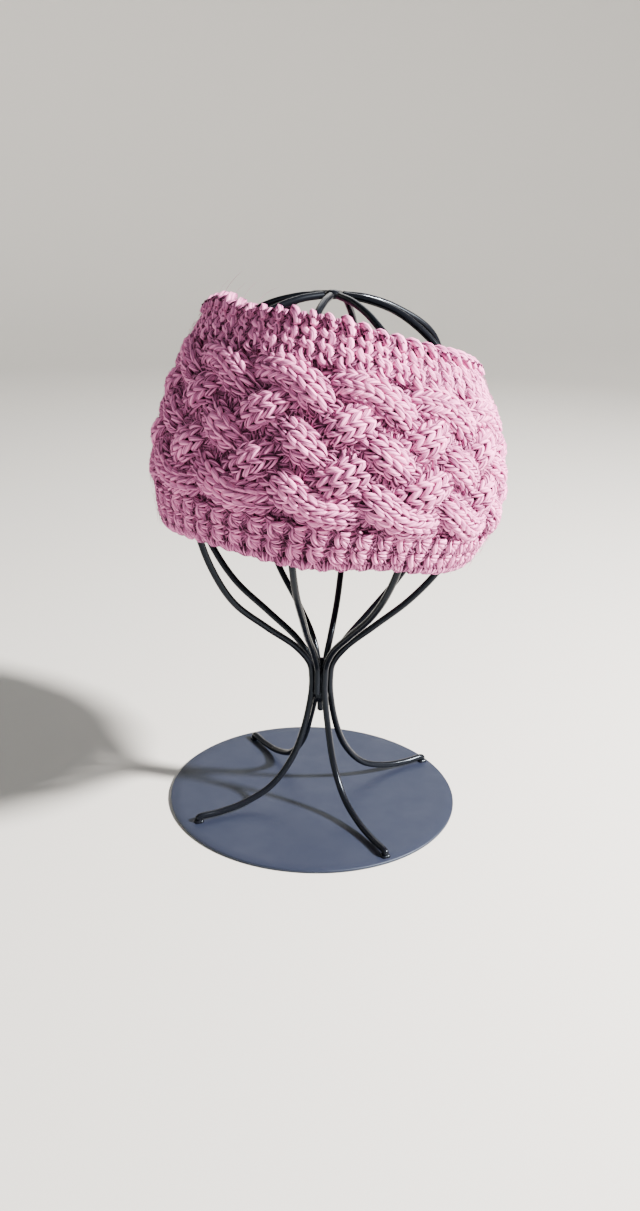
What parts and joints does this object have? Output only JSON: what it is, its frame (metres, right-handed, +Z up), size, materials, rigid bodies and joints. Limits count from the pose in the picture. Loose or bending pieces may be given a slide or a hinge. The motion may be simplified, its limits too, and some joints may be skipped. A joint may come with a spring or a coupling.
{
  "type": "cable knit headband on a wire hat stand",
  "caption": "Wide plaited cable knit headband with ridged borders, worn on a balloon-shaped wire head form that stands on a round steel plate.",
  "frame": {"origin": "middle of the underside of the stand's round plate", "axes": "+Z up along the stand, -Y towards the front of the band, +X to the right seen from the front"},
  "size_m": [0.1725, 0.1723, 0.2648],
  "materials": {
    "wool_knit": "soft plied wool, dusty pink",
    "wire_paint": "satin black paint",
    "plate_paint": "satin black powder coat"
  },
  "bodies": {
    "root": {"knit_band": "wool_knit", "base_plate": "plate_paint", "wire_front_left": "wire_paint", "wire_front_right": "wire_paint", "wire_back_right": "wire_paint", "wire_back_left": "wire_paint", "rib_front": "wire_paint", "rib_right": "wire_paint", "rib_back": "wire_paint", "rib_left": "wire_paint", "centre_pin": "wire_paint", "waist_weld": "wire_paint", "top_weld": "wire_paint"}
  },
  "joints": []
}
